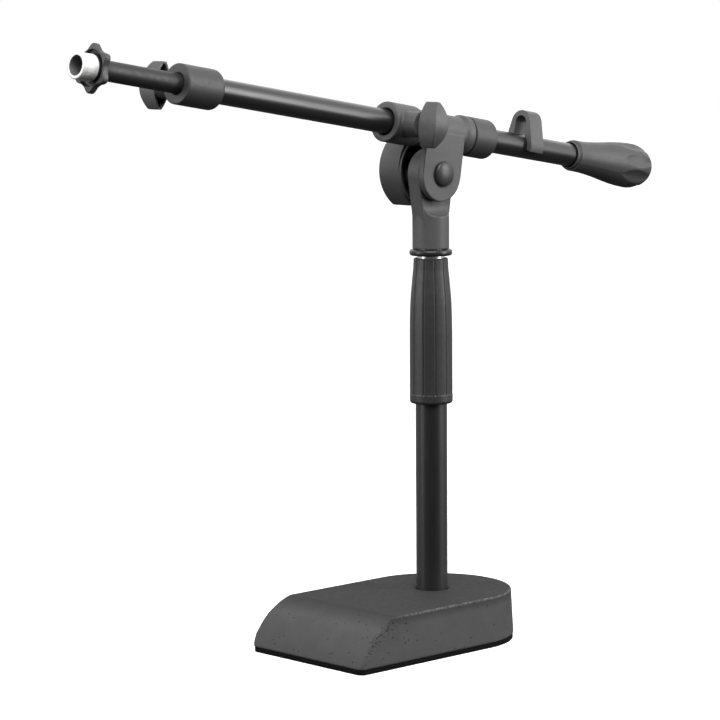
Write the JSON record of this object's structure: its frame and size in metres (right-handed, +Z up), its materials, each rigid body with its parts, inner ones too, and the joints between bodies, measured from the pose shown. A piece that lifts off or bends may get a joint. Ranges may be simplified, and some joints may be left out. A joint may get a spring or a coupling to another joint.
{
  "type": "boom microphone stand",
  "caption": "Low boom microphone stand with a heavy cast base, telescoping column, tilting and telescoping boom, counterweight grip and threaded tip.",
  "frame": {"origin": "centre of the column at the underside of the base pad", "axes": "+X towards the boom's tip, over the base's sloping front; +Y to the side of the boom clamp's wing knob; +Z up"},
  "size_m": [0.485, 0.1004, 0.3816],
  "materials": {
    "cast_base": "matte black paint with a fine cast texture",
    "rubber_pad": "matte",
    "black_tube": "satin black paint on steel",
    "clamp_casting": "matte black powder coat on a die casting",
    "chrome_tube": "polished",
    "nickel_thread": "bright nickel plate",
    "zinc_steel": "zinc plate",
    "brass": "plain",
    "nylon": "black",
    "black_plastic": "matte",
    "grip_plastic": "matte, lightly textured",
    "knob_plastic": "satin",
    "counterweight_plastic": "matte, soft to the touch"
  },
  "bodies": {
    "stand": {"base_casting": "cast_base", "base_pad": "rubber_pad", "foot_bolt": "zinc_steel", "foot_washer": "zinc_steel", "foot_plug": "zinc_steel", "post_tube": "black_tube", "clutch_bush": "zinc_steel", "clutch_collet": "nylon"},
    "clutch_grip": {"column_clutch_grip": "grip_plastic"},
    "column_slider": {"column_guide_bush": "nylon"},
    "column": {"column_slide_tube": "chrome_tube", "column_stop_ring": "black_plastic", "swivel_yoke": "clamp_casting", "tilt_friction_disc": "nylon"},
    "boom_holder": {"boom_clamp": "clamp_casting", "clamp_end_collar": "black_plastic", "clamp_shoe": "brass", "pivot_bolt": "clamp_casting", "tension_spring_washer": "zinc_steel"},
    "tilt_knob": {"tension_knob": "knob_plastic", "tension_nut": "brass"},
    "holder_wing": {"clamp_wing_knob": "knob_plastic", "clamp_screw": "zinc_steel"},
    "boom_liner": {"clamp_liner": "nylon"},
    "boom": {"boom_outer_tube": "black_tube", "extension_sleeve": "black_plastic", "extension_shoe": "brass", "counterweight_grip": "counterweight_plastic", "counterweight_core": "zinc_steel"},
    "extension_wing": {"extension_wing_knob": "knob_plastic", "extension_screw": "zinc_steel"},
    "lead_clip": {"cable_clip": "black_plastic"},
    "extension_slider": {"inner_guide_bush": "nylon"},
    "extension": {"boom_inner_tube": "black_tube", "thread_adapter": "nickel_thread"},
    "lock_nut": {"star_lock_nut": "black_plastic"}
  },
  "joints": [
    {"name": "clutch_turn", "type": "hinge", "parent": "stand", "child": "clutch_grip", "pos_m": [0, 0, 0.19], "axis": [0, 0, 1], "range_deg": [-90, 30]},
    {"name": "column_height", "type": "slide", "parent": "stand", "child": "column_slider", "axis": [0, 0, 1], "range_m": [0, 0.11]},
    {"name": "column_pan", "type": "hinge", "parent": "column_slider", "child": "column", "pos_m": [0, 0, 0.25], "axis": [0, 0, 1], "continuous": true},
    {"name": "boom_tilt", "type": "hinge", "parent": "column", "child": "boom_holder", "pos_m": [0, 0, 0.296], "axis": [0, -1, 0], "range_deg": [-54, 65]},
    {"name": "tilt_knob_turn", "type": "hinge", "parent": "boom_holder", "child": "tilt_knob", "pos_m": [0, -0.02, 0.296], "axis": [0, -1, 0], "range_deg": [-180, 90]},
    {"name": "holder_wing_turn", "type": "hinge", "parent": "boom_holder", "child": "holder_wing", "pos_m": [0.0288, 0.03, 0.32799], "axis": [0, 1, 0], "range_deg": [-270, 45]},
    {"name": "boom_roll", "type": "hinge", "parent": "boom_holder", "child": "boom_liner", "pos_m": [-0.00436, 0, 0.32255], "axis": [0.9868, 0, 0.1619], "continuous": true},
    {"name": "boom_slide", "type": "slide", "parent": "boom_liner", "child": "boom", "axis": [0.9868, 0, 0.1619], "range_m": [-0.125, 0.03]},
    {"name": "extension_wing_turn", "type": "hinge", "parent": "boom", "child": "extension_wing", "pos_m": [0.19547, -0.032, 0.35534], "axis": [0, -1, 0], "range_deg": [-270, 45]},
    {"name": "lead_clip_turn", "type": "hinge", "parent": "boom", "child": "lead_clip", "pos_m": [-0.08488, 0, 0.30933], "axis": [0.9868, 0, 0.1619], "continuous": true},
    {"name": "boom_extend", "type": "slide", "parent": "boom", "child": "extension_slider", "axis": [0.9868, 0, 0.1619], "range_m": [-0.05, 0.09]},
    {"name": "tip_roll", "type": "hinge", "parent": "extension_slider", "child": "extension", "pos_m": [0.23247, 0, 0.36141], "axis": [0.9868, 0, 0.1619], "continuous": true},
    {"name": "lock_nut_turn", "type": "hinge", "parent": "extension", "child": "lock_nut", "pos_m": [0.26701, 0, 0.36708], "axis": [0.9868, 0, 0.1619], "continuous": true}
  ]
}
